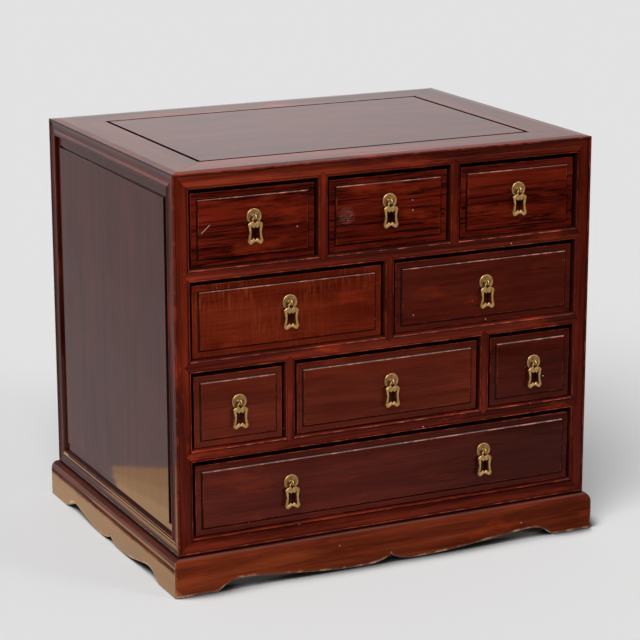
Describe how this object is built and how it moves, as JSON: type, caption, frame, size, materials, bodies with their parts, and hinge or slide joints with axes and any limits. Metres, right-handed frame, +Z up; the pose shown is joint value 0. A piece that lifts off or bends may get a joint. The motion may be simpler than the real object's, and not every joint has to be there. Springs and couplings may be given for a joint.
{
  "type": "apothecary chest",
  "caption": "Low lacquered table chest with coved mitred frame, rows of drawers of mixed widths, brass pendant pulls and a scalloped stand.",
  "frame": {"origin": "on the floor under the middle of the stand", "axes": "+Z up, +X to the right seen from the front, the drawers open towards -Y"},
  "size_m": [0.6172, 0.4652, 0.5473],
  "materials": {
    "lacquered_frame_wood": "dark red-brown lacquer, glossy, worn at the edges",
    "lacquered_panel_wood": "dark red-brown lacquer, glossy",
    "lacquered_drawer_wood": "dark red-brown lacquer, glossy, streaked",
    "lacquered_stand_wood": "dark red-brown lacquer, worn at the lower edges",
    "bare_inner_wood": "bare softwood, matt",
    "aged_brass": "aged cast brass"
  },
  "bodies": {
    "case": {"apron_back": "lacquered_stand_wood", "apron_front": "lacquered_stand_wood", "apron_left": "lacquered_stand_wood", "apron_right": "lacquered_stand_wood", "back_frame": "lacquered_frame_wood", "case_bottom": "lacquered_frame_wood", "divider_1": "lacquered_frame_wood", "divider_2": "lacquered_frame_wood", "divider_3": "lacquered_frame_wood", "divider_4": "lacquered_frame_wood", "divider_5": "lacquered_frame_wood", "post_front_left": "lacquered_frame_wood", "post_front_right": "lacquered_frame_wood", "shelf_1": "lacquered_frame_wood", "shelf_2": "lacquered_frame_wood", "shelf_3": "lacquered_frame_wood", "side_panel_left": "lacquered_panel_wood", "side_panel_right": "lacquered_panel_wood", "top_panel": "lacquered_panel_wood", "top_rail_front": "lacquered_frame_wood", "top_rail_left": "lacquered_frame_wood", "top_rail_right": "lacquered_frame_wood"},
    "drawer_1": {"drawer_1_front": "lacquered_drawer_wood", "drawer_1_pull_mount": "aged_brass", "drawer_1_tray": "bare_inner_wood"},
    "drawer_2": {"drawer_2_front": "lacquered_drawer_wood", "drawer_2_pull_mount": "aged_brass", "drawer_2_tray": "bare_inner_wood"},
    "drawer_3": {"drawer_3_front": "lacquered_drawer_wood", "drawer_3_pull_mount": "aged_brass", "drawer_3_tray": "bare_inner_wood"},
    "drawer_4": {"drawer_4_front": "lacquered_drawer_wood", "drawer_4_pull_mount": "aged_brass", "drawer_4_tray": "bare_inner_wood"},
    "drawer_5": {"drawer_5_front": "lacquered_drawer_wood", "drawer_5_pull_mount": "aged_brass", "drawer_5_tray": "bare_inner_wood"},
    "drawer_6": {"drawer_6_front": "lacquered_drawer_wood", "drawer_6_pull_mount": "aged_brass", "drawer_6_tray": "bare_inner_wood"},
    "drawer_7": {"drawer_7_front": "lacquered_drawer_wood", "drawer_7_pull_mount": "aged_brass", "drawer_7_tray": "bare_inner_wood"},
    "drawer_8": {"drawer_8_front": "lacquered_drawer_wood", "drawer_8_pull_mount": "aged_brass", "drawer_8_tray": "bare_inner_wood"},
    "drawer_9": {"drawer_9_front": "lacquered_drawer_wood", "drawer_9_pull_mount_left": "aged_brass", "drawer_9_pull_mount_right": "aged_brass", "drawer_9_tray": "bare_inner_wood"},
    "drawer_1_pendant": {"drawer_1_pendant": "aged_brass"},
    "drawer_2_pendant": {"drawer_2_pendant": "aged_brass"},
    "drawer_3_pendant": {"drawer_3_pendant": "aged_brass"},
    "drawer_4_pendant": {"drawer_4_pendant": "aged_brass"},
    "drawer_5_pendant": {"drawer_5_pendant": "aged_brass"},
    "drawer_6_pendant": {"drawer_6_pendant": "aged_brass"},
    "drawer_7_pendant": {"drawer_7_pendant": "aged_brass"},
    "drawer_8_pendant": {"drawer_8_pendant": "aged_brass"},
    "drawer_9_pendant_left": {"drawer_9_pendant_left": "aged_brass"},
    "drawer_9_pendant_right": {"drawer_9_pendant_right": "aged_brass"}
  },
  "joints": [
    {"name": "drawer_1_slide", "type": "slide", "parent": "case", "child": "drawer_1", "axis": [0, -1, 0], "range_m": [0, 0.33]},
    {"name": "drawer_2_slide", "type": "slide", "parent": "case", "child": "drawer_2", "axis": [0, -1, 0], "range_m": [0, 0.33]},
    {"name": "drawer_3_slide", "type": "slide", "parent": "case", "child": "drawer_3", "axis": [0, -1, 0], "range_m": [0, 0.33]},
    {"name": "drawer_4_slide", "type": "slide", "parent": "case", "child": "drawer_4", "axis": [0, -1, 0], "range_m": [0, 0.33]},
    {"name": "drawer_5_slide", "type": "slide", "parent": "case", "child": "drawer_5", "axis": [0, -1, 0], "range_m": [0, 0.33]},
    {"name": "drawer_6_slide", "type": "slide", "parent": "case", "child": "drawer_6", "axis": [0, -1, 0], "range_m": [0, 0.33]},
    {"name": "drawer_7_slide", "type": "slide", "parent": "case", "child": "drawer_7", "axis": [0, -1, 0], "range_m": [0, 0.33]},
    {"name": "drawer_8_slide", "type": "slide", "parent": "case", "child": "drawer_8", "axis": [0, -1, 0], "range_m": [0, 0.33]},
    {"name": "drawer_9_slide", "type": "slide", "parent": "case", "child": "drawer_9", "axis": [0, -1, 0], "range_m": [0, 0.33]},
    {"name": "drawer_1_pendant_hinge", "type": "hinge", "parent": "drawer_1", "child": "drawer_1_pendant", "pos_m": [-0.18987, -0.22579, 0.48405], "axis": [-1, 0, 0], "range_deg": [-5, 150]},
    {"name": "drawer_2_pendant_hinge", "type": "hinge", "parent": "drawer_2", "child": "drawer_2_pendant", "pos_m": [0, -0.22579, 0.48605], "axis": [-1, 0, 0], "range_deg": [-5, 150]},
    {"name": "drawer_3_pendant_hinge", "type": "hinge", "parent": "drawer_3", "child": "drawer_3_pendant", "pos_m": [0.18987, -0.22579, 0.48405], "axis": [-1, 0, 0], "range_deg": [-5, 150]},
    {"name": "drawer_4_pendant_hinge", "type": "hinge", "parent": "drawer_4", "child": "drawer_4_pendant", "pos_m": [-0.1414, -0.22629, 0.36853], "axis": [-1, 0, 0], "range_deg": [-5, 150]},
    {"name": "drawer_5_pendant_hinge", "type": "hinge", "parent": "drawer_5", "child": "drawer_5_pendant", "pos_m": [0.1434, -0.22629, 0.36403], "axis": [-1, 0, 0], "range_deg": [-5, 150]},
    {"name": "drawer_6_pendant_hinge", "type": "hinge", "parent": "drawer_6", "child": "drawer_6_pendant", "pos_m": [-0.2134, -0.22779, 0.247], "axis": [-1, 0, 0], "range_deg": [-5, 150]},
    {"name": "drawer_7_pendant_hinge", "type": "hinge", "parent": "drawer_7", "child": "drawer_7_pendant", "pos_m": [0.003, -0.22779, 0.247], "axis": [-1, 0, 0], "range_deg": [-5, 150]},
    {"name": "drawer_8_pendant_hinge", "type": "hinge", "parent": "drawer_8", "child": "drawer_8_pendant", "pos_m": [0.2174, -0.22779, 0.246], "axis": [-1, 0, 0], "range_deg": [-5, 150]},
    {"name": "drawer_9_pendant_left_hinge", "type": "hinge", "parent": "drawer_9", "child": "drawer_9_pendant_left", "pos_m": [-0.142, -0.22869, 0.12998], "axis": [-1, 0, 0], "range_deg": [-5, 150]},
    {"name": "drawer_9_pendant_right_hinge", "type": "hinge", "parent": "drawer_9", "child": "drawer_9_pendant_right", "pos_m": [0.142, -0.22869, 0.13298], "axis": [-1, 0, 0], "range_deg": [-5, 150]}
  ]
}
